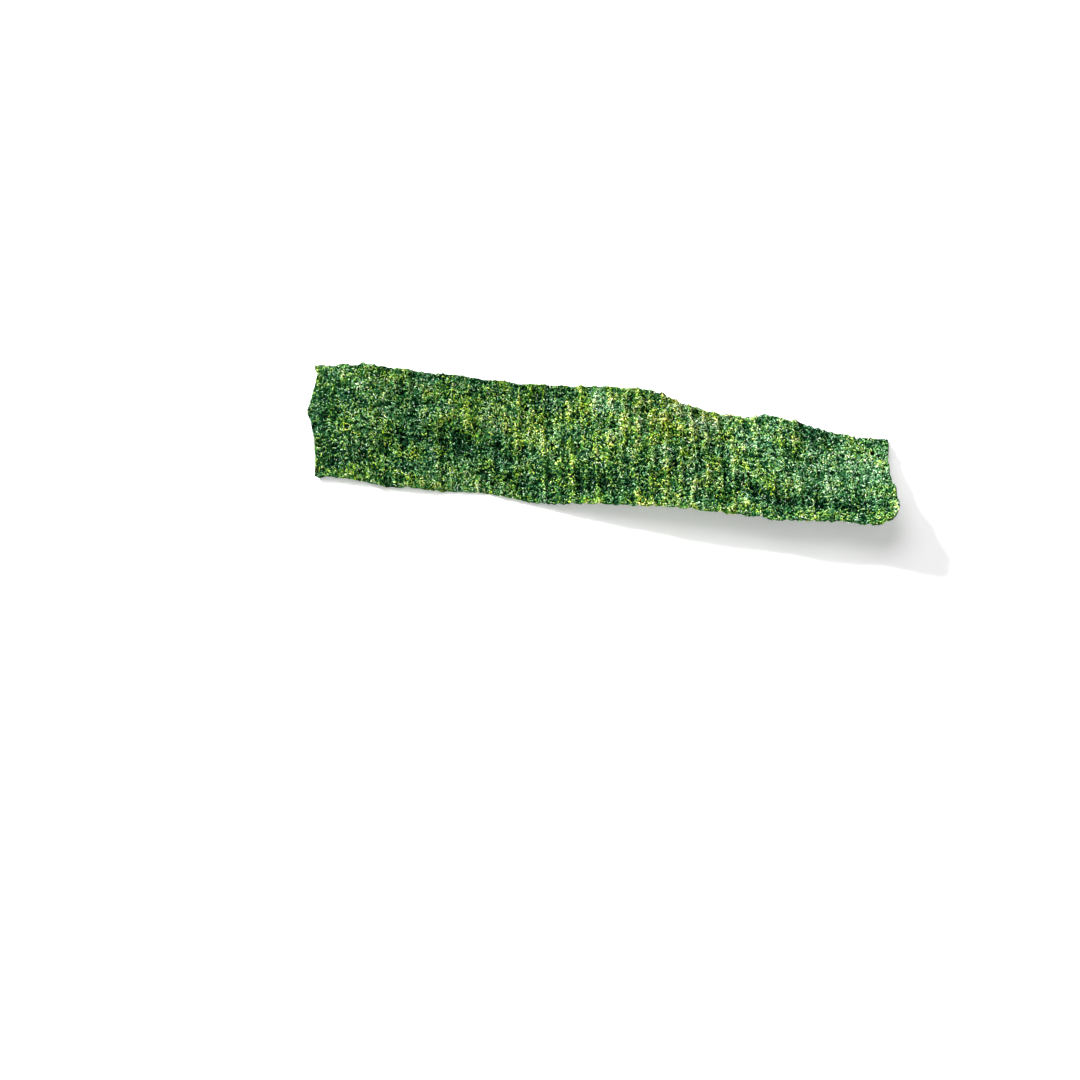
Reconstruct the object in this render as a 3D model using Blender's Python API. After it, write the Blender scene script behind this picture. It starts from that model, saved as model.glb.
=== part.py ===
"""A strip of roasted seaweed snack: one thin, crisp, crinkled sheet.

Metres, +Z up. The strip runs along X, with its far long edge towards +Y and its near one
towards -Y. The origin is under the middle of its box, on the surface that it lies on.
It rests on two spots of its far edge and one of its near edge. Towards the right end it
twists, so that the near edge stands clear of the surface.
"""

import bmesh
import bpy
import numpy as np

MM = 0.001

# The strip laid flat
LENGTH = 105 * MM
WIDTH = 24 * MM
THICKNESS = 0.45 * MM
SKEW = -0.138  # the ends aren't cut square: shift along the strip for each metre across it

# How it lies: the middle line's height, and its roll with the far edge up, at even steps
HEIGHTS_MM = (0.15, 1.35, 1.22, 1.22, 1.54, 3.0, 4.72, 4.29, 3.07, 4.09, 3.44, 4.03)
ROLLS_DEG = (-2.1, 4.7, 5.0, 6.0, 5.0, 4.3, 4.0, -3.9, -10.1, -9.5, -15.1, -18.7)

# Bulges and nicks of the outline: (centre, how far it stands out, half width), in mm.
# A centre is measured from the left end on a long edge, and from the middle on an end.
FAR_EDGE = (
    (61.5, 0.55, 3.0),
    (70.5, -0.7, 3.5),
    (83.0, 0.8, 2.2),
    (94.0, -0.75, 5.5),
    (101.0, -0.45, 2.0),
    (105.0, 0.5, 1.5),
)
NEAR_EDGE = (
    (0.0, 0.4, 2.0),
    (13.0, 0.45, 3.0),
    (31.0, -1.1, 6.0),
    (84.0, 0.45, 2.5),
    (94.0, -0.5, 3.0),
    (105.5, -1.9, 1.5),
)
LEFT_END = ((1.5, 0.5, 1.6), (2.0, 1.25, 6.0), (9.5, -0.3, 1.3), (12.0, 0.65, 2.5))
RIGHT_END = ((-12.0, -0.7, 2.5), (-7.0, 1.1, 4.5), (-1.5, 0.4, 2.5), (12.0, 0.5, 4.0))
RAGGED = 0.16 * MM  # fine unevenness of all four edges
RAGGED_STEP = 1.3 * MM

# Dents and swellings: (along, across, height, half length, half width), in mm. The first is
# the valley along the near edge at the right, beyond which the edge curls up.
DENTS = (
    (88.0, -7.2, -0.95, 12.0, 2.4),
    (15.0, -3.6, -0.30, 4.0, 2.2),
    (29.0, -3.2, -0.40, 7.0, 2.2),
    (37.0, -9.5, -0.35, 3.0, 2.8),
    (45.5, 3.6, -0.45, 1.9, 2.2),
    (53.0, -8.2, -0.35, 4.2, 1.8),
    (33.5, 4.0, 0.25, 3.5, 3.5),
    (52.0, 7.5, 0.35, 4.0, 3.5),
    (63.0, 5.0, 0.30, 4.5, 5.0),
    (97.0, 4.0, 0.30, 4.5, 4.5),
    (94.5, 12.0, 0.40, 4.5, 2.0),
)

# Relief that the drying mat and the fronds leave
RIB_PITCH = 2.45 * MM
RIB_HEIGHT = 0.50 * MM
RIB_WANDER = 0.6 * MM
RIB_BREAK = 2.8 * MM  # length of the pieces that a rib is broken into
RIB_MIDDLE = 62 * MM  # the ribs are clearest here
RIB_HALF_LENGTH = 30 * MM
KNOT_SIZE = 1.9 * MM
KNOT_HEIGHT = 0.27 * MM
CRINKLE_SIZE = 6.5 * MM
CRINKLE_HEIGHT = 0.22 * MM

CELLS_ALONG = 168
CELLS_ACROSS = 15

LEAF_GREEN = (0.075, 0.19, 0.045, 1.0)


def smooth_row(values, share):
    """A smooth curve through evenly spaced values, read at a share from 0 to 1."""
    values = np.asarray(values, float)
    spots = len(values)
    before = 2 * values[0] - values[1]
    after = 2 * values[-1] - values[-2]
    padded = np.concatenate([[before], values, [after]])
    place = np.clip(share * (spots - 1), 0, spots - 1 - 1e-9)
    first = np.floor(place).astype(int)
    part = place - first
    a, b, c, d = (padded[first + step] for step in range(4))
    cubic = (3 * (b - c) + d - a) * part**3
    square = (2 * a - 5 * b + 4 * c - d) * part**2
    return 0.5 * (2 * b + (c - a) * part + square + cubic)


def noise(along, across, size, seed):
    """Smooth unevenness from -1 to 1 with one random value for each cell of that size."""
    cells = int(2 * LENGTH / size) + 4
    values = np.random.default_rng(seed).uniform(-1, 1, (cells, cells))
    x = along / size + cells / 4
    y = across / size + cells / 2
    i, j = np.floor(x).astype(int), np.floor(y).astype(int)
    fx, fy = x - i, y - j
    fx, fy = fx * fx * (3 - 2 * fx), fy * fy * (3 - 2 * fy)
    low = values[i, j] * (1 - fx) + values[i + 1, j] * fx
    high = values[i, j + 1] * (1 - fx) + values[i + 1, j + 1] * fx
    return low * (1 - fy) + high * fy


def bulges(rows, place):
    """The height of a row of rounded bulges at a place along an edge."""
    total = np.zeros_like(place)
    for centre, height, half_width in rows:
        total += height * MM * np.exp(-(((place - centre * MM) / (half_width * MM)) ** 2))
    return total


def outline(share_along, share_across):
    """From shares (0 to 1 along, -1 to 1 across) to distances on the flat strip."""
    along = share_along * LENGTH
    across = share_across * WIDTH / 2
    ragged_far = RAGGED * noise(along, 0 * along, RAGGED_STEP, 11)
    ragged_near = RAGGED * noise(along, 0 * along, RAGGED_STEP, 12)
    ragged_left = RAGGED * noise(across, 0 * across, RAGGED_STEP, 13)
    ragged_right = RAGGED * noise(across, 0 * across, RAGGED_STEP, 14)
    far = bulges(FAR_EDGE, along) + ragged_far
    near = bulges(NEAR_EDGE, along) + ragged_near
    left = bulges(LEFT_END, across) + ragged_left
    right = bulges(RIGHT_END, across) + ragged_right
    side = np.abs(share_across) ** 3
    across = across + side * np.where(share_across > 0, far, -near)
    along = along + right * share_along**14 - left * (1 - share_along) ** 14
    return along, across


def ribs(along, across):
    """From 0 to 1: narrow wandering ridges across the strip, broken into lengths."""
    wandered = along + RIB_WANDER * noise(along, across, 4 * RIB_PITCH, 21)
    clear = 0.35 + 0.65 * np.exp(-(((along - RIB_MIDDLE) / RIB_HALF_LENGTH) ** 2))
    broken = 0.6 + 0.4 * noise(along, across, RIB_BREAK, 24)
    crest = (1 + np.cos(2 * np.pi * wandered / RIB_PITCH)) / 2
    return clear * broken * crest**3


def relief(along, across):
    """How far the sheet stands out of its smooth middle surface."""
    height = RIB_HEIGHT * ribs(along, across)
    height += KNOT_HEIGHT * noise(along, across, KNOT_SIZE, 22)
    height += CRINKLE_HEIGHT * noise(along, across, CRINKLE_SIZE, 23)
    for dent_along, dent_across, dent_height, half_length, half_width in DENTS:
        behind = (along / MM - dent_along) / half_length
        beside = (across / MM - dent_across) / half_width
        height += dent_height * MM * np.exp(-(behind**2) - beside**2)
    return height


def sheet(along, across):
    """Points of the sheet's middle surface as it lies, for distances on the flat strip."""
    steps = np.linspace(-0.1 * LENGTH, 1.1 * LENGTH, 1201)
    heights = MM * smooth_row(HEIGHTS_MM, steps / LENGTH)
    rise = np.gradient(heights, steps)
    run = np.sqrt(1 - rise**2)
    travelled = np.concatenate([[0], np.cumsum((run[1:] + run[:-1]) / 2 * np.diff(steps))])
    travelled -= np.interp(LENGTH / 2, steps, travelled)
    x = np.interp(along, steps, travelled)
    z = np.interp(along, steps, heights)
    rise = np.interp(along, steps, rise)
    run = np.interp(along, steps, run)
    roll = np.radians(smooth_row(ROLLS_DEG, along / LENGTH))
    out = relief(along, across)
    return np.stack(
        [
            x + SKEW * across - rise * np.cos(roll) * out,
            across * np.cos(roll) - run * np.sin(roll) * out,
            z + across * np.sin(roll) + run * np.cos(roll) * out,
        ],
        axis=-1,
    )


def make_material():
    material = bpy.data.materials.new("roasted_seaweed")
    material.use_nodes = True
    surface = material.node_tree.nodes["Principled BSDF"]
    surface.inputs["Base Color"].default_value = LEAF_GREEN
    surface.inputs["Roughness"].default_value = 0.42
    surface.inputs["Metallic"].default_value = 0.0
    return material


def make_strip():
    mesh = bpy.data.meshes.new("seaweed_strip")
    bm = bmesh.new()
    bmesh.ops.create_grid(bm, x_segments=CELLS_ALONG, y_segments=CELLS_ACROSS, size=1.0)
    flat = np.array([vert.co[:2] for vert in bm.verts])
    along, across = outline((flat[:, 0] + 1) / 2, flat[:, 1])
    points = sheet(along, across)
    points -= (points.max(axis=0) + points.min(axis=0)) / 2
    for vert, point in zip(bm.verts, points):
        vert.co = point
    bmesh.ops.triangulate(bm, faces=bm.faces, quad_method="SHORT_EDGE")
    bm.to_mesh(mesh)
    bm.free()
    mesh.shade_smooth()
    strip = bpy.data.objects.new("seaweed_strip", mesh)
    bpy.context.collection.objects.link(strip)
    strip.data.materials.append(make_material())
    solid = strip.modifiers.new("thickness", "SOLIDIFY")
    solid.thickness = THICKNESS
    solid.offset = 0.0
    solid.use_rim = True
    return strip


def set_on_surface(strip):
    """Moves the mesh so that the solid's box is centred on the origin and stands on Z = 0."""
    bpy.context.view_layer.update()
    evaluated = strip.evaluated_get(bpy.context.evaluated_depsgraph_get())
    corners = np.array([vert.co for vert in evaluated.data.vertices])
    middle = (corners.max(axis=0) + corners.min(axis=0)) / 2
    middle[2] = corners[:, 2].min()
    for vert in strip.data.vertices:
        vert.co = np.array(vert.co) - middle


for old in list(bpy.data.objects):
    bpy.data.objects.remove(old)

set_on_surface(make_strip())
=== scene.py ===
"""The looks of a strip of roasted seaweed snack: a crinkled core covered in curly flakes.

The strip's shape is worked out by the same functions and sizes as its solid. The core
replaces that solid, and the flakes of each face lie partly sunk in the core. In the
formulas, along and across are distances on the flat strip, and out is the distance from
its smooth middle surface.
"""

import math

import bmesh
import bpy
import numpy as np
from mathutils import Matrix, Vector


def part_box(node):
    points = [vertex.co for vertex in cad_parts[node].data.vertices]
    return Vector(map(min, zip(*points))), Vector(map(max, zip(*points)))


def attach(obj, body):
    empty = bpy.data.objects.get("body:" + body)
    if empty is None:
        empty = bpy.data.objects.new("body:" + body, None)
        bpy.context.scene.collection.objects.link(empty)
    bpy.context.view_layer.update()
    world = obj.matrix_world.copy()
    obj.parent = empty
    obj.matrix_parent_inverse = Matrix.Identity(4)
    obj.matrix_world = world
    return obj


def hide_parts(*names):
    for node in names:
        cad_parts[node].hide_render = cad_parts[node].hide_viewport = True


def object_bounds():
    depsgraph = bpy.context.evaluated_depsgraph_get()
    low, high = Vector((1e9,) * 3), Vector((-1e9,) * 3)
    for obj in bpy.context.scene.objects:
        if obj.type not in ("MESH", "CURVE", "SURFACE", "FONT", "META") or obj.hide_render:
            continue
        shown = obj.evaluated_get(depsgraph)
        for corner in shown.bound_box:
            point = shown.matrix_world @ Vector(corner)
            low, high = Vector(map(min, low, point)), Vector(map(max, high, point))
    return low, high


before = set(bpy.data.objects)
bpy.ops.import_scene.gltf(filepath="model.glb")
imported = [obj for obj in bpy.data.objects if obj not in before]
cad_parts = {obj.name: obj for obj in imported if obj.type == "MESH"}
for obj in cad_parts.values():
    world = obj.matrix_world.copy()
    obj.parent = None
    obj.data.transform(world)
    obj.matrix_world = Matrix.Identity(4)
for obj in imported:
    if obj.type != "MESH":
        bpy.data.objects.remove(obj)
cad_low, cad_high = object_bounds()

NODE = "seaweed_strip"
MM = 0.001

# The strip laid flat, as in its solid
LENGTH = 105 * MM
WIDTH = 24 * MM
THICKNESS = 0.45 * MM
SKEW = -0.138  # the ends aren't cut square: shift along the strip for each metre across it

# How it lies: the middle line's height, and its roll with the far edge up, at even steps
HEIGHTS_MM = (0.15, 1.35, 1.22, 1.22, 1.54, 3.0, 4.72, 4.29, 3.07, 4.09, 3.44, 4.03)
ROLLS_DEG = (-2.1, 4.7, 5.0, 6.0, 5.0, 4.3, 4.0, -3.9, -10.1, -9.5, -15.1, -18.7)

# Bulges and nicks of the outline: (centre, how far it stands out, half width), in mm.
# A centre is measured from the left end on a long edge, and from the middle on an end.
FAR_EDGE = (
    (61.5, 0.55, 3.0),
    (70.5, -0.7, 3.5),
    (83.0, 0.8, 2.2),
    (94.0, -0.75, 5.5),
    (101.0, -0.45, 2.0),
    (105.0, 0.5, 1.5),
)
NEAR_EDGE = (
    (0.0, 0.4, 2.0),
    (13.0, 0.45, 3.0),
    (31.0, -1.1, 6.0),
    (84.0, 0.45, 2.5),
    (94.0, -0.5, 3.0),
    (105.5, -1.9, 1.5),
)
LEFT_END = ((1.5, 0.5, 1.6), (2.0, 1.25, 6.0), (9.5, -0.3, 1.3), (12.0, 0.65, 2.5))
RIGHT_END = ((-12.0, -0.7, 2.5), (-7.0, 1.1, 4.5), (-1.5, 0.4, 2.5), (12.0, 0.5, 4.0))
RAGGED = 0.16 * MM  # fine unevenness of all four edges
RAGGED_STEP = 1.3 * MM
SIDE_POWER = 3  # the higher, the less far in from a long edge its bulges reach
END_POWER = 14  # and from an end

# Dents and swellings: (along, across, height, half length, half width), in mm. The first is
# the valley along the near edge at the right, beyond which the edge curls up.
DENTS = (
    (88.0, -7.2, -0.95, 12.0, 2.4),
    (15.0, -3.6, -0.30, 4.0, 2.2),
    (29.0, -3.2, -0.40, 7.0, 2.2),
    (37.0, -9.5, -0.35, 3.0, 2.8),
    (45.5, 3.6, -0.45, 1.9, 2.2),
    (53.0, -8.2, -0.35, 4.2, 1.8),
    (33.5, 4.0, 0.25, 3.5, 3.5),
    (52.0, 7.5, 0.35, 4.0, 3.5),
    (63.0, 5.0, 0.30, 4.5, 5.0),
    (97.0, 4.0, 0.30, 4.5, 4.5),
    (94.5, 12.0, 0.40, 4.5, 2.0),
)

# Relief that the drying mat and the fronds leave
RIB_PITCH = 2.45 * MM
RIB_HEIGHT = 0.50 * MM
RIB_WANDER = 0.6 * MM
RIB_BREAK = 2.8 * MM  # length of the pieces that a rib is broken into
RIB_BROKEN = 0.4  # by how much of the rib's height its pieces rise and fall
RIB_MIDDLE = 62 * MM  # the ribs are clearest here
RIB_HALF_LENGTH = 30 * MM
RIB_FAINTEST = 0.35  # share of its height that a rib keeps far from there
RIB_POWER = 3  # the higher, the narrower the ribs
KNOT_SIZE = 1.9 * MM
KNOT_HEIGHT = 0.27 * MM
CRINKLE_SIZE = 6.5 * MM
CRINKLE_HEIGHT = 0.22 * MM

# Detail that only the looks have
CORE_THICKNESS = 0.24 * MM
CORE_CELL = 0.24 * MM
CORE_TAPER = 0.45  # share of its thickness that the core loses at the rim
CORE_RIM_POWER = 8  # the higher, the narrower the rim
# Painted shade: the core, seen between and under the flakes, is this much darker than the leaf
CORE_SHADE = 0.22
LUMP_SIZE = 0.95 * MM  # small lumps, which the low light shades
LUMP_HEIGHT = 0.476 * MM  # from the lowest gap to the highest lump
GRAIN_SIZE = 0.42 * MM
GRAIN_HEIGHT = 0.07 * MM
GRAIN_BEND = 0.5  # how far the ridges wander, as a share of their size
GRAIN_STEEPNESS = 2.2
GRAIN_MIDDLE = 0.6  # the ridges' height at which the core has its own thickness

# Three kinds of flake: broad fronds below, narrow curls on them, and a few thin loops. A
# flake has two tips and that many sections between them. Its length, width, height and how
# far its middle stands out of the core's face are in mm, as (smallest, largest), and its
# curl is in radians, as (mean, spread). Tilt is the spread of its slope, brightness is
# added to its lightness, and the last value is the share of its crest painted pale as a glint, a
# painted highlight.
FRONDS = {
    "count": 16000,
    "sections": 2,
    "length": (0.40, 0.88),
    "width": (0.24, 0.38),
    "height": (0.20, 0.32),
    "stand": (-0.14, 0.0),
    "curl": (0.0, 0.9),
    "tilt": 0.14,
    "brightness": -0.02,
    "painted_glint": 0.03,
}
CURLS = {
    "count": 7400,
    "sections": 4,
    "length": (0.40, 1.05),
    "width": (0.19, 0.30),
    "height": (0.18, 0.30),
    "stand": (-0.02, 0.07),
    "curl": (0.0, 2.2),
    "tilt": 0.10,
    "brightness": 0.18,
    "painted_glint": 0.13,
}
LOOPS = {
    "count": 220,
    "sections": 9,
    "length": (1.0, 3.8),
    "width": (0.20, 0.30),
    "height": (0.20, 0.28),
    "stand": (0.02, 0.08),
    "curl": (4.4, 0.7),
    "tilt": 0.0,
    "brightness": 0.16,
    "painted_glint": 0.15,
}

LEAN_SPREAD = 0.35  # how far a flake's crest leans, in half widths
FLAKE_POINTED = 1.75  # the higher, the narrower a flake is near its tips
NEARLY_STRAIGHT = 0.001  # the least curl that the formula of a bent flake takes
CUT_TOLERANCE = 0.02 * MM  # points brought further back to the outline are plain leaf

# A flake's points: how far up its height, and their share of the leaf's colour, of which the
# rest is the dark of the gaps.
# That share is painted light and shade: the feet are painted dark, as shade where the flake
# meets the core, the tips half so, and the crest lighter than the leaf, as a painted lit ridge.
# The crest rises with the flake's width.
TIP = (0.15, 0.5)
FOOT_IN_SHADE = (-0.35, 0.03)
CREST_PAINTED_LIGHT = 1.25

# How one flake's colour differs from its neighbours': uneven tone, painted shade on flakes that
# stand lower, and painted glints on some crests
LOWER_IS_SHADED = 0.10
LIGHTNESS_SPREAD = 0.16
SPREAD_SUM = 1.45  # that spread is multiplied by this less the lightness,
SPREAD_LIMITS = (0.7, 1.2)  # kept within these limits
HUE_SPREAD = 0.31
# Painted glints: pale painted highlights on some crests, more of them on lighter flakes
GLINT_PAINT_BASE = 0.5  # the pale share is multiplied by this plus the lightness,
GLINT_PAINT_LIMITS = (0.3, 1.5)  # kept within these limits
GLINT_PAINT_STRENGTH = (0.3, 1.0)  # share of the pale colour where a crest is pale

# Lightness from 0 to 1, and the noise in it: (strength, size in mm, seed)
LIGHTNESS = 0.545
LIGHTNESS_NOISE = ((0.03, 9.0, 41), (0.09, 3.4, 42), (0.04, 1.7, 43))

# Lighter and darker patches: (along, across, lightness, half length, half width), in mm. The
# darker patches along the crease by the near edge at the right, and those on several dents, are
# painted shade.
PATCHES = (
    (1.0, 3.0, -0.12, 2.2, 9.0),
    (5.0, 9.5, 0.14, 4.0, 3.0),
    (8.0, -3.5, -0.07, 5.0, 3.0),
    (9.0, 3.5, 0.04, 5.0, 4.0),
    (5.0, -7.0, -0.13, 6.0, 5.0),
    (20.0, 9.5, 0.20, 4.5, 3.5),
    (15.0, -2.0, -0.22, 3.5, 1.8),
    (29.0, -1.5, -0.24, 7.5, 2.0),
    (28.0, 4.0, 0.15, 4.0, 2.5),
    (40.0, 2.5, 0.15, 7.0, 3.0),
    (27.0, -9.0, 0.29, 4.0, 3.0),
    (33.8, 6.5, 0.20, 1.3, 4.0),
    (36.5, -8.0, -0.20, 3.0, 3.0),
    (41.5, 9.5, -0.27, 5.0, 3.5),
    (45.5, 3.6, -0.12, 1.8, 2.0),
    (46.5, -9.5, -0.16, 4.0, 3.0),
    (51.6, 8.5, 0.28, 3.0, 2.5),
    (53.0, -7.5, -0.26, 4.0, 2.2),
    (58.0, 3.5, 0.25, 5.0, 3.5),
    (68.0, 9.0, 0.08, 4.0, 3.5),
    (68.5, 3.5, -0.10, 3.0, 3.0),
    (68.0, -7.0, 0.06, 4.0, 6.0),
    (73.0, 8.0, 0.14, 12.0, 4.0),
    # Painted shade along the crease by the near edge at the right
    (79.0, -5.4, -0.26, 3.5, 1.8),
    (85.0, -7.8, -0.38, 4.0, 2.3),
    (76.0, -2.5, -0.06, 3.0, 2.5),
    (84.0, 3.5, -0.07, 3.5, 3.0),
    (84.0, -1.5, 0.06, 10.0, 3.0),
    (91.5, -2.6, 0.15, 4.5, 2.0),
    (92.0, -6.9, -0.36, 4.5, 1.6),
    (98.5, -7.4, -0.36, 4.5, 1.8),
    (92.5, 9.5, -0.20, 4.0, 3.5),
    (100.0, 3.5, 0.16, 4.5, 5.0),
)

# How far a place counts as high: ribs and knots are yellower than hollows, and are painted
# lighter as lit ridges while the hollows are painted darker as shade
RIB_LIFT = 1.4
RIB_LIFT_POWER = 0.8
KNOT_LIFT = 0.55
HOLLOW = 0.42
LIFT_LIMITS = (-0.8, 1.0)
LIFT_SHADING = 0.27
LIFT_YELLOWER = 0.22
RIM_LIGHTER = 0.20  # the rims are lighter and yellower, over about a millimetre
RIM_YELLOWER = 0.16
RIM_POWER = 14
RIM_HALF_LENGTH = 22 * MM

# Yellowness from 0, blue-green, to 1, yellow-green
YELLOWNESS = 0.34
YELLOW_NOISE = 0.46
YELLOW_SIZE = 2.6 * MM
LIGHTER_IS_YELLOWER = 0.55

# Where the fronds are teal rather than yellow, in even patches: the smoother right end, as
# (along, across, half length, half width), in mm
TEAL_ZONE = (98.0, 2.0, 9.0, 7.0)
TEAL_BLUER = 0.5
TEAL_EVENER = 0.7

# The seaweed's fine mottle, in spots about a quarter of a millimetre wide
MOTTLE_SCALE = 3800.0
MOTTLE_DETAIL = 2.0
MOTTLE_NOISE = (0.35, 0.65)  # this stretch of the noise
MOTTLE_SHADES = (0.03, 2.15)  # gives these shades, by which the leaf's colour is multiplied
BUMP_STRENGTH = 0.35
BUMP_HEIGHT = 0.05 * MM

# Each material's gloss: roughness as (lowest, highest), and specular level
CORE_GLOSS = ((0.5, 0.8), 0.03)
FLAKE_GLOSS = ((0.12, 0.30), 0.35)

# The photograph's view: the camera looks at a spot of the floor beside the strip. Angles
# are in degrees, and the spot is in the formulas' frame.
CAMERA_AZIMUTH = 5.38
CAMERA_ELEVATION = 57.57
CAMERA_ROLL = 2.91
CAMERA_DISTANCE = 803.56 * MM
CAMERA_AIM = (-8.64 * MM, -19.21 * MM, 0.0)
CAMERA_LENS = 150.0  # in mm, as is the sensor's width
CAMERA_SENSOR = 36.0

FLOOR_REACH = 4.5  # half of its side, in metres
FLOOR_GREY = 0.86
FLOOR_ROUGHNESS = 0.9
FLOOR_SPECULAR = 0.1
FLOOR_GLOW = 0.35  # a little light from the floor keeps the shadows on it pale
DOME_RADIUS = 4.0
DOME_SEGMENTS = 48
BLACK = (0.0, 0.0, 0.0, 1.0)
WHITE = (1.0, 1.0, 1.0, 1.0)
SKY_STRENGTH = 0.05

# Far lights: name, direction towards it, strength, how many degrees wide it seems, and
# whether it shows in the gloss
LIGHTS = (
    ("key", (-0.86, 0.38, 0.54), 8.6, 10.0, True),
    ("soft", (-0.30, 0.20, 1.00), 1.4, 50.0, False),
    ("fill", (0.5, -0.7, 1.0), 0.6, 44.0, False),
)


# The strip's shape


def smooth_row(values, share):
    """A smooth curve through evenly spaced values, read at a share from 0 to 1."""
    values = np.asarray(values, float)
    spots = len(values)
    before = 2 * values[0] - values[1]
    after = 2 * values[-1] - values[-2]
    padded = np.concatenate([[before], values, [after]])
    place = np.clip(share * (spots - 1), 0, spots - 1 - 1e-9)
    first = np.floor(place).astype(int)
    part = place - first
    a, b, c, d = (padded[first + step] for step in range(4))
    cubic = (3 * (b - c) + d - a) * part**3
    square = (2 * a - 5 * b + 4 * c - d) * part**2
    return 0.5 * (2 * b + (c - a) * part + square + cubic)


def noise(along, across, size, seed):
    """Smooth unevenness from -1 to 1, with one seeded random value for each cell."""
    cells = int(2 * LENGTH / size) + 4
    values = np.random.default_rng(seed).uniform(-1, 1, (cells, cells))
    x = along / size + cells / 4
    y = across / size + cells / 2
    i, j = np.floor(x).astype(int), np.floor(y).astype(int)
    fx, fy = x - i, y - j
    fx, fy = fx * fx * (3 - 2 * fx), fy * fy * (3 - 2 * fy)
    low = values[i, j] * (1 - fx) + values[i + 1, j] * fx
    high = values[i, j + 1] * (1 - fx) + values[i + 1, j + 1] * fx
    return low * (1 - fy) + high * fy


def bulges(rows, place):
    """The height of a row of rounded bulges at a place along an edge."""
    total = np.zeros_like(place)
    for centre, height, half_width in rows:
        total += height * MM * np.exp(-(((place - centre * MM) / (half_width * MM)) ** 2))
    return total


def outline(share_along, share_across):
    """From shares (0 to 1 along, -1 to 1 across) to distances on the flat strip."""
    along = share_along * LENGTH
    across = share_across * WIDTH / 2
    ragged_far = RAGGED * noise(along, 0 * along, RAGGED_STEP, 11)
    ragged_near = RAGGED * noise(along, 0 * along, RAGGED_STEP, 12)
    ragged_left = RAGGED * noise(across, 0 * across, RAGGED_STEP, 13)
    ragged_right = RAGGED * noise(across, 0 * across, RAGGED_STEP, 14)
    far = bulges(FAR_EDGE, along) + ragged_far
    near = bulges(NEAR_EDGE, along) + ragged_near
    left = bulges(LEFT_END, across) + ragged_left
    right = bulges(RIGHT_END, across) + ragged_right
    side = np.abs(share_across) ** SIDE_POWER
    across = across + side * np.where(share_across > 0, far, -near)
    along = along + right * share_along**END_POWER - left * (1 - share_along) ** END_POWER
    return along, across


def ribs(along, across):
    """From 0 to 1: narrow wandering ridges across the strip, broken into lengths."""
    wandered = along + RIB_WANDER * noise(along, across, 4 * RIB_PITCH, 21)
    middle = np.exp(-(((along - RIB_MIDDLE) / RIB_HALF_LENGTH) ** 2))
    clear = RIB_FAINTEST + (1 - RIB_FAINTEST) * middle
    broken = (1 - RIB_BROKEN) + RIB_BROKEN * noise(along, across, RIB_BREAK, 24)
    crest = (1 + np.cos(2 * np.pi * wandered / RIB_PITCH)) / 2
    return clear * broken * crest**RIB_POWER


def relief(along, across):
    """How far the sheet stands out of its smooth middle surface."""
    height = RIB_HEIGHT * ribs(along, across)
    height += KNOT_HEIGHT * noise(along, across, KNOT_SIZE, 22)
    height += CRINKLE_HEIGHT * noise(along, across, CRINKLE_SIZE, 23)
    for dent_along, dent_across, dent_height, half_length, half_width in DENTS:
        behind = (along / MM - dent_along) / half_length
        beside = (across / MM - dent_across) / half_width
        height += dent_height * MM * np.exp(-(behind**2) - beside**2)
    return height


def lumpy(along, across):
    """The relief with the small lumps that only the looks have."""
    lump = noise(along, across, LUMP_SIZE, 25)
    return relief(along, across) + LUMP_HEIGHT * (0.5 - np.abs(lump))


def sheet(along, across, out):
    """Points that far out of the smooth middle surface as it lies."""
    steps = np.linspace(-0.1 * LENGTH, 1.1 * LENGTH, 1201)
    heights = MM * smooth_row(HEIGHTS_MM, steps / LENGTH)
    rise = np.gradient(heights, steps)
    run = np.sqrt(1 - rise**2)
    travelled = np.concatenate([[0], np.cumsum((run[1:] + run[:-1]) / 2 * np.diff(steps))])
    travelled -= np.interp(LENGTH / 2, steps, travelled)
    x = np.interp(along, steps, travelled)
    z = np.interp(along, steps, heights)
    rise = np.interp(along, steps, rise)
    run = np.interp(along, steps, run)
    roll = np.radians(smooth_row(ROLLS_DEG, along / LENGTH))
    return np.stack(
        [
            x + SKEW * across - rise * np.cos(roll) * out,
            across * np.cos(roll) - run * np.sin(roll) * out,
            z + across * np.sin(roll) + run * np.cos(roll) * out,
        ],
        axis=-1,
    )


def cut(along, across):
    """Points of the flat strip, with those beyond its cut outline brought back to it."""
    share = np.linspace(0, 1, 2001)
    whole = 2 * share - 1
    edge = np.ones_like(share)
    far_along, far_across = outline(share, edge)
    near_along, near_across = outline(share, -edge)
    left_along, left_across = outline(0 * edge, whole)
    right_along, right_across = outline(edge, whole)
    across = np.minimum(across, np.interp(along, far_along, far_across))
    across = np.maximum(across, np.interp(along, near_along, near_across))
    along = np.maximum(along, np.interp(across, left_across, left_along))
    along = np.minimum(along, np.interp(across, right_across, right_along))
    return along, across


def placed():
    """The shift from the formulas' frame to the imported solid's."""
    low, high = (np.array(corner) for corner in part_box(NODE))
    along, across = np.meshgrid(np.linspace(0, 1, 400), np.linspace(-1, 1, 60))
    along, across = outline(along.ravel(), across.ravel())
    both = [relief(along, across) + side * THICKNESS / 2 for side in (-1, 1)]
    points = np.concatenate([sheet(along, across, out) for out in both])
    shift = (low + high) / 2 - (points.max(axis=0) + points.min(axis=0)) / 2
    shift[2] = low[2] - points[:, 2].min()
    return shift


SHIFT = placed()


# Colours


# Powers of the mottle's shade for red, green and blue: where it is darker, red and blue
# lose more than green does
DARKER_IS_GREENER = (1.45, 1.0, 1.30)
GLINT_TINT = (0.66, 1.0, 0.80, 1.0)  # of the gloss
# Painted shade: the dark of the gaps between ridges and under flakes
GAP_SHADE = np.array((0.0005, 0.004, 0.0015))  # the dark between ridges and under flakes
# Colours of the painted glints, pale highlights painted on some crests
GLINT_PAINT_YELLOW = np.array((0.64, 0.74, 0.28))
GLINT_PAINT_BLUE = np.array((0.50, 0.70, 0.56))
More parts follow.
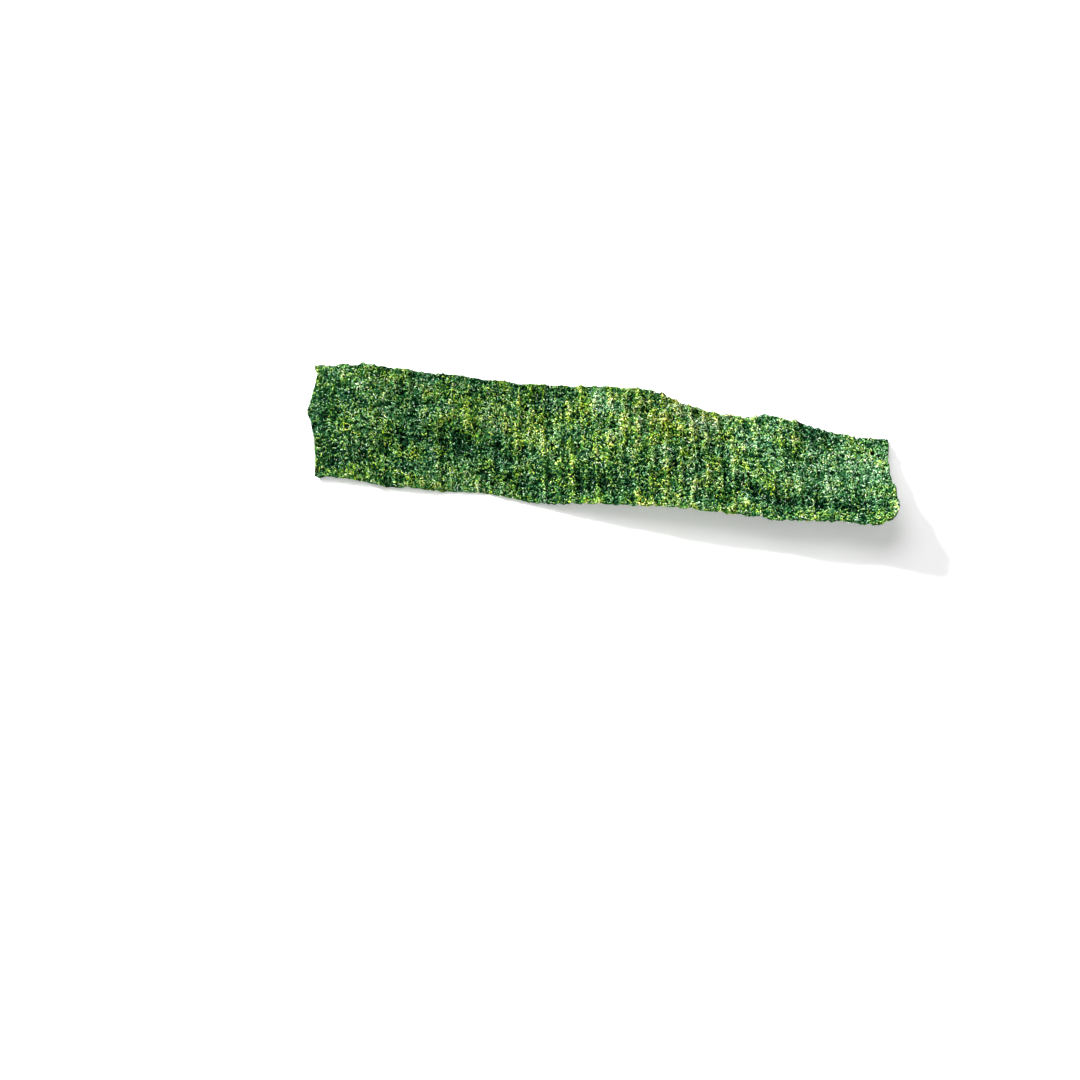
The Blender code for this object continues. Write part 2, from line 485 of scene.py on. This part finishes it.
# The leaf's colours from dark to light, at these lightnesses
RAMP_SPOTS = (0.0, 0.25, 0.45, 0.65, 0.82, 1.0)
YELLOW_GREEN = np.array(
    (
        (0.001, 0.011, 0.0010),
        (0.011, 0.070, 0.004),
        (0.064, 0.208, 0.007),
        (0.190, 0.400, 0.012),
        (0.315, 0.500, 0.028),
        (0.480, 0.570, 0.135),
    )
)
BLUE_GREEN = np.array(
    (
        (0.0004, 0.009, 0.003),
        (0.0035, 0.053, 0.012),
        (0.026, 0.148, 0.044),
        (0.092, 0.280, 0.100),
        (0.180, 0.410, 0.175),
        (0.400, 0.570, 0.410),
    )
)


def teal(along, across):
    """From 0 to 1 in the middle of the teal zone."""
    zone_along, zone_across, half_length, half_width = TEAL_ZONE
    behind = (along / MM - zone_along) / half_length
    beside = (across / MM - zone_across) / half_width
    return np.exp(-(behind**2) - beside**2)


def rim(along, across):
    """From 0 to 1 at the middle of the two long edges."""
    clear = np.exp(-(((along - RIB_MIDDLE) / RIM_HALF_LENGTH) ** 2))
    return clear * np.clip(np.abs(across / (WIDTH / 2)), 0, 1) ** RIM_POWER


def lift(along, across):
    """From -0.8 in the hollows to 1 on the highest knots and ribs."""
    knot = noise(along, across, KNOT_SIZE, 22)
    high = RIB_LIFT * ribs(along, across) ** RIB_LIFT_POWER - HOLLOW + KNOT_LIFT * knot
    return np.clip(high, *LIFT_LIMITS) * (1 - TEAL_EVENER * teal(along, across))


def lightness(along, across):
    """How light the seaweed is there, in patches of several sizes, with painted light on the
    ribs and knots, and painted shade in the hollows and in the darker patches on the crease and
    dents.
    """
    level = np.full_like(along, LIGHTNESS)
    for strength, size, seed in LIGHTNESS_NOISE:
        level += strength * noise(along, across, size * MM, seed)
    # Painted light on the ribs and knots and painted shade in the hollows; the rims are lighter
    # in tone
    level += LIFT_SHADING * lift(along, across) + RIM_LIGHTER * rim(along, across)
    for patch_along, patch_across, lighter, half_length, half_width in PATCHES:
        behind = (along / MM - patch_along) / half_length
        beside = (across / MM - patch_across) / half_width
        level += lighter * np.exp(-(behind**2) - beside**2)
    return level


def yellowness(along, across):
    """How yellow-green the seaweed is there."""
    hue = YELLOWNESS + YELLOW_NOISE * noise(along, across, YELLOW_SIZE, 44)
    hue += LIFT_YELLOWER * lift(along, across)
    return hue + RIM_YELLOWER * rim(along, across) - TEAL_BLUER * teal(along, across)


def leaf_colour(level, hue):
    """The colour of seaweed that light and that yellow."""
    level = np.clip(level, 0, 1)
    hue = np.clip(hue + LIGHTER_IS_YELLOWER * (level - 0.5), 0, 1)[..., None]
    yellow, blue = (
        np.stack([np.interp(level, RAMP_SPOTS, ramp[:, k]) for k in range(3)], axis=-1)
        for ramp in (YELLOW_GREEN, BLUE_GREEN)
    )
    return blue * (1 - hue) + yellow * hue


# Pieces


def add_object(name, data):
    """A new object with that mesh, light or camera, in the scene."""
    thing = bpy.data.objects.new(name, data)
    bpy.context.collection.objects.link(thing)
    return thing


def add_material(name):
    """A new material, and the shader that its values are set on."""
    material = bpy.data.materials.new(name)
    material.use_nodes = True
    return material, material.node_tree.nodes["Principled BSDF"]


def make_mesh(name, points, faces, colours):
    """A piece of points, triangles or quads, and one colour for each point."""
    mesh = bpy.data.meshes.new(name)
    mesh.from_pydata(points.tolist(), [], faces.tolist())
    mesh.validate()
    tint = mesh.color_attributes.new("tint", "FLOAT_COLOR", "POINT")
    rgba = np.concatenate([colours, np.ones((len(colours), 1))], axis=1)
    tint.data.foreach_set("color", rgba.astype(np.float32).ravel())
    mesh.shade_smooth()
    return add_object(name, mesh)


def grain(along, across, seed):
    """Worm-like ridges, at 1, and the gaps between them, finer than the solid shows."""
    bend_x = GRAIN_BEND * GRAIN_SIZE * noise(along, across, 2 * GRAIN_SIZE, seed)
    bend_y = GRAIN_BEND * GRAIN_SIZE * noise(along, across, 2 * GRAIN_SIZE, seed + 1)
    fine = noise(along + bend_x, across + bend_y, GRAIN_SIZE, seed + 2)
    return 1 - GRAIN_STEEPNESS * np.abs(fine)


def make_core():
    """The crinkled sheet under the flakes: two faces, closed round the rim."""
    columns = round(LENGTH / CORE_CELL)
    rows = round(WIDTH / CORE_CELL)
    share_along, share_across = np.meshgrid(
        np.linspace(0, 1, columns + 1), np.linspace(-1, 1, rows + 1), indexing="ij"
    )
    share_along, share_across = share_along.ravel(), share_across.ravel()
    along, across = outline(share_along, share_across)
    # From 0 on the faces to 1 at the rim, which is about as wide at the ends as at the sides
    to_end = np.abs(2 * share_along - 1) ** round(LENGTH / WIDTH)
    edge = np.maximum(np.abs(share_across), to_end) ** CORE_RIM_POWER
    middle = lumpy(along, across)
    half = CORE_THICKNESS / 2 * (1 - CORE_TAPER * edge)
    faces, points, colours = [], [], []
    count = (columns + 1) * (rows + 1)
    corner = np.arange(count).reshape(columns + 1, rows + 1)
    quads = np.stack(
        [corner[:-1, :-1], corner[1:, :-1], corner[1:, 1:], corner[:-1, 1:]], axis=-1
    ).reshape(-1, 4)
    for side, seed in ((1, 51), (-1, 55)):
        fine = grain(along, across, seed)
        out = middle + side * (half + GRAIN_HEIGHT * (fine - GRAIN_MIDDLE) * (1 - edge))
        skin = sheet(along, across, out) + SHIFT
        skin[:, 2] = np.clip(skin[:, 2], cad_low[2], cad_high[2])
        points.append(skin)
        # Painted shade: the grain's gaps take the dark of the gaps, and its ridges and the rim
        # take the leaf's colour, darkened as shade under the flakes
        crest = np.clip(fine + edge, 0, 1)[:, None]
        level = lightness(along, across) - CORE_SHADE
        leaf = leaf_colour(level, yellowness(along, across))
        colours.append(GAP_SHADE * (1 - crest) + leaf * crest)
        faces.append(quads if side > 0 else quads[:, ::-1] + count)
    # The rim's quads, once round the strip between the two faces
    ring = np.concatenate(
        [corner[:-1, 0], corner[-1, :-1], corner[:0:-1, -1], corner[0, :0:-1]]
    )
    following = np.roll(ring, -1)
    faces.append(np.stack([ring, ring + count, following + count, following], axis=-1))
    return make_mesh(
        "seaweed_core", np.concatenate(points), np.concatenate(faces), np.concatenate(colours)
    )


def spindle_faces(sections):
    """Triangles of one flake: a tip, sections of left, crest and right, and a tip."""
    rings = [(1 + 3 * k, 2 + 3 * k, 3 + 3 * k) for k in range(sections)]
    last = 1 + 3 * sections
    faces = []
    for here, there in ((0, 1), (1, 2), (2, 0)):
        faces.append((0, rings[0][there], rings[0][here]))
        for near, far in zip(rings, rings[1:]):
            faces.append((near[here], far[there], far[here]))
            faces.append((near[here], near[there], far[there]))
        faces.append((rings[-1][here], rings[-1][there], last))
    return np.array(faces)


def make_flakes(name, kind, side, seed):
    """Curly flakes at true size, partly sunk in one face of the core."""
    rng = np.random.default_rng(seed)
    count, sections = kind["count"], kind["sections"]

    def draw(low, high):
        return rng.uniform(low, high, count)

    length, width, height = (draw(*kind[key]) * MM for key in ("length", "width", "height"))
    stand = draw(*kind["stand"]) * MM
    heading = draw(0, np.pi)
    curl = rng.normal(*kind["curl"], count)
    tilt = rng.normal(0, kind["tilt"], count)
    lean = rng.normal(0, LEAN_SPREAD, count)
    along0, across0 = outline(draw(0, 1), draw(-1, 1))
    # Painted shade: flakes that stand lower in the core are darker, higher ones lighter
    lowest, highest = kind["stand"]
    raised = 2 * (stand / MM - lowest) / (highest - lowest) - 1
    level = lightness(along0, across0) + kind["brightness"] + LOWER_IS_SHADED * raised
    level += rng.normal(0, LIGHTNESS_SPREAD, count) * np.clip(SPREAD_SUM - level, *SPREAD_LIMITS)
    hue = yellowness(along0, across0) + rng.normal(0, HUE_SPREAD, count)
    leaf = leaf_colour(level, hue)
    yellow = np.clip(hue, 0, 1)[:, None]
    glint_paint = GLINT_PAINT_BLUE * (1 - yellow) + GLINT_PAINT_YELLOW * yellow
    points, colours = [], []

    def section(step, aside, up, shade):
        """One point of every flake: how far along it, to its side and up its height."""
        turned = heading + curl * step
        bent = np.where(np.abs(curl) < NEARLY_STRAIGHT, NEARLY_STRAIGHT, curl)
        forward = length * np.sin(bent * step) / bent
        bow = length * (1 - np.cos(bent * step)) / bent
        x = along0 + forward * np.cos(heading) - bow * np.sin(heading)
        y = across0 + forward * np.sin(heading) + bow * np.cos(heading)
        x = x - aside * np.sin(turned) * width / 2
        y = y + aside * np.cos(turned) * width / 2
        out = CORE_THICKNESS / 2 + stand + tilt * length * step + up * height
        points.append((x, y, out))
        # Painted light and shade: the leaf mixed with the dark of the gaps by each point's share
        colours.append(leaf * shade + GAP_SHADE * (1 - shade))

    section(-0.5, 0, *TIP)
    for step in np.linspace(-0.5, 0.5, sections + 2)[1:-1]:
        swell = math.sqrt(1 - (FLAKE_POINTED * step) ** 2)
        section(step, -swell, *FOOT_IN_SHADE)
        section(step, lean * swell, swell, CREST_PAINTED_LIGHT)
        # Painted glints: some crest points take a pale colour as a painted highlight
        share = kind["painted_glint"] * np.clip(GLINT_PAINT_BASE + level, *GLINT_PAINT_LIMITS)
        painted_glint = np.where(draw(0, 1) < share, draw(*GLINT_PAINT_STRENGTH), 0)[:, None]
        colours[-1] = colours[-1] * (1 - painted_glint) + glint_paint * painted_glint
        section(step, swell, *FOOT_IN_SHADE)
    section(0.5, 0, *TIP)
    x, y, out = (np.stack([point[k] for point in points], axis=1) for k in range(3))
    inner_x, inner_y = cut(x, y)
    brought_back = (np.hypot(inner_x - x, inner_y - y) > CUT_TOLERANCE)[..., None]
    vertices = sheet(inner_x, inner_y, lumpy(inner_x, inner_y) + side * out) + SHIFT
    vertices[..., 2] = np.clip(vertices[..., 2], cad_low[2], cad_high[2])
    per_flake = 2 + 3 * sections
    faces = spindle_faces(sections)[None] + per_flake * np.arange(count)[:, None, None]
    faces = faces if side > 0 else faces[..., ::-1]
    colours = np.where(brought_back, leaf[:, None], np.stack(colours, axis=1)).reshape(-1, 3)
    return make_mesh(name, vertices.reshape(-1, 3), faces.reshape(-1, 3), colours)


def make_material(name, roughness, specular):
    """The mesh's colours, painted light and shade included, with a fine mottle in their shade,
    gloss and bump.
    """
    material, surface = add_material(name)
    nodes, links = material.node_tree.nodes, material.node_tree.links
    tint = nodes.new("ShaderNodeAttribute")
    tint.attribute_name = "tint"
    place = nodes.new("ShaderNodeTexCoord")
    mottle = nodes.new("ShaderNodeTexNoise")
    mottle.inputs["Scale"].default_value = MOTTLE_SCALE
    mottle.inputs["Detail"].default_value = MOTTLE_DETAIL
    shade = nodes.new("ShaderNodeMapRange")
    shade.inputs["From Min"].default_value = MOTTLE_NOISE[0]
    shade.inputs["From Max"].default_value = MOTTLE_NOISE[1]
    shade.inputs["To Min"].default_value = MOTTLE_SHADES[0]
    shade.inputs["To Max"].default_value = MOTTLE_SHADES[1]
    shades = nodes.new("ShaderNodeCombineXYZ")
    for channel, power in enumerate(DARKER_IS_GREENER):
        bent = nodes.new("ShaderNodeMath")
        bent.operation = "POWER"
        bent.inputs[1].default_value = power
        links.new(shade.outputs["Result"], bent.inputs[0])
        links.new(bent.outputs["Value"], shades.inputs[channel])
    mix = nodes.new("ShaderNodeVectorMath")
    mix.operation = "MULTIPLY"
    rough = nodes.new("ShaderNodeMapRange")
    rough.inputs["To Min"].default_value = roughness[0]
    rough.inputs["To Max"].default_value = roughness[1]
    bump = nodes.new("ShaderNodeBump")
    bump.inputs["Strength"].default_value = BUMP_STRENGTH
    bump.inputs["Distance"].default_value = BUMP_HEIGHT
    links.new(place.outputs["Object"], mottle.inputs["Vector"])
    links.new(mottle.outputs["Fac"], shade.inputs["Value"])
    links.new(mottle.outputs["Fac"], rough.inputs["Value"])
    links.new(tint.outputs["Color"], mix.inputs[0])
    links.new(shades.outputs["Vector"], mix.inputs[1])
    links.new(mix.outputs["Vector"], surface.inputs["Base Color"])
    links.new(rough.outputs["Result"], surface.inputs["Roughness"])
    links.new(mottle.outputs["Fac"], bump.inputs["Height"])
    links.new(bump.outputs["Normal"], surface.inputs["Normal"])
    surface.inputs["Specular IOR Level"].default_value = specular
    surface.inputs["Specular Tint"].default_value = GLINT_TINT
    return material


def dress(piece, material):
    """Gives a piece its material, and ties it to the one body that the part has."""
    piece.data.materials.append(material)
    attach(piece, "root")


# Surroundings


def make_floor():
    """A plain pale floor."""
    mesh = bpy.data.meshes.new("floor")
    reach = FLOOR_REACH
    corners = [(-reach, -reach, 0), (reach, -reach, 0), (reach, reach, 0), (-reach, reach, 0)]
    mesh.from_pydata(corners, [], [(0, 1, 2, 3)])
    floor = add_object("floor", mesh)
    material, surface = add_material("floor")
    surface.inputs["Base Color"].default_value = (FLOOR_GREY, FLOOR_GREY, FLOOR_GREY, 1)
    surface.inputs["Emission Color"].default_value = WHITE
    surface.inputs["Emission Strength"].default_value = FLOOR_GLOW
    surface.inputs["Roughness"].default_value = FLOOR_ROUGHNESS
    surface.inputs["Specular IOR Level"].default_value = FLOOR_SPECULAR
    mesh.materials.append(material)


def make_backdrop():
    """A pale dome round the floor. Only the camera sees it, so it lights nothing."""
    mesh = bpy.data.meshes.new("backdrop")
    bm = bmesh.new()
    bmesh.ops.create_uvsphere(
        bm, u_segments=DOME_SEGMENTS, v_segments=DOME_SEGMENTS // 2, radius=DOME_RADIUS
    )
    bm.to_mesh(mesh)
    bm.free()
    dome = add_object("backdrop", mesh)
    material, surface = add_material("backdrop")
    surface.inputs["Base Color"].default_value = BLACK
    surface.inputs["Specular IOR Level"].default_value = 0.0
    surface.inputs["Emission Color"].default_value = WHITE
    surface.inputs["Emission Strength"].default_value = 1.0
    mesh.materials.append(material)
    dome.visible_diffuse = False
    dome.visible_glossy = False
    dome.visible_transmission = False
    dome.visible_shadow = False


def make_light(name, towards, strength, spread, glossy):
    """A far light in that direction."""
    data = bpy.data.lights.new(name, "SUN")
    data.energy = strength
    data.angle = math.radians(spread)
    light = add_object(name, data)
    light.location = towards
    light.visible_glossy = glossy
    light.rotation_mode = "QUATERNION"
    light.rotation_quaternion = (-Vector(towards)).to_track_quat("-Z", "Y")


def make_lights():
    """The far lights, and a little light from everywhere that leaves no gloss."""
    world = bpy.data.worlds.new("studio")
    world.use_nodes = True
    background = world.node_tree.nodes["Background"]
    background.inputs["Color"].default_value = WHITE
    background.inputs["Strength"].default_value = SKY_STRENGTH
    bpy.context.scene.world = world
    world.cycles_visibility.glossy = False
    for light in LIGHTS:
        make_light(*light)


def make_camera():
    """The photograph's camera."""
    azimuth, elevation = math.radians(CAMERA_AZIMUTH), math.radians(CAMERA_ELEVATION)
    back = Vector(
        (
            math.sin(azimuth) * math.cos(elevation),
            -math.cos(azimuth) * math.cos(elevation),
            math.sin(elevation),
        )
    )
    data = bpy.data.cameras.new("camera")
    data.lens = CAMERA_LENS
    data.sensor_width = CAMERA_SENSOR
    camera = add_object("camera", data)
    spot = Vector(CAMERA_AIM) + Vector(SHIFT)
    level = (-back).to_track_quat("-Z", "Y").to_matrix()
    roll = Matrix.Rotation(math.radians(CAMERA_ROLL), 3, "Z")
    turn = (level @ roll).to_4x4()
    camera.matrix_world = Matrix.Translation(spot + back * CAMERA_DISTANCE) @ turn
    bpy.context.scene.camera = camera


make_camera()
make_lights()
make_floor()
make_backdrop()

core = make_core()
dress(core, make_material("seaweed_core", *CORE_GLOSS))
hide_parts(NODE)
flake_material = make_material("seaweed_flakes", *FLAKE_GLOSS)
for face, side, seed in (("top", 1, 61), ("under", -1, 71)):
    for kind_name, kind in (("fronds", FRONDS), ("curls", CURLS), ("loops", LOOPS)):
        flakes = make_flakes(f"{kind_name}_{face}", kind, side, seed + kind["sections"])
        dress(flakes, flake_material)

bpy.context.scene.view_settings.view_transform = "Standard"
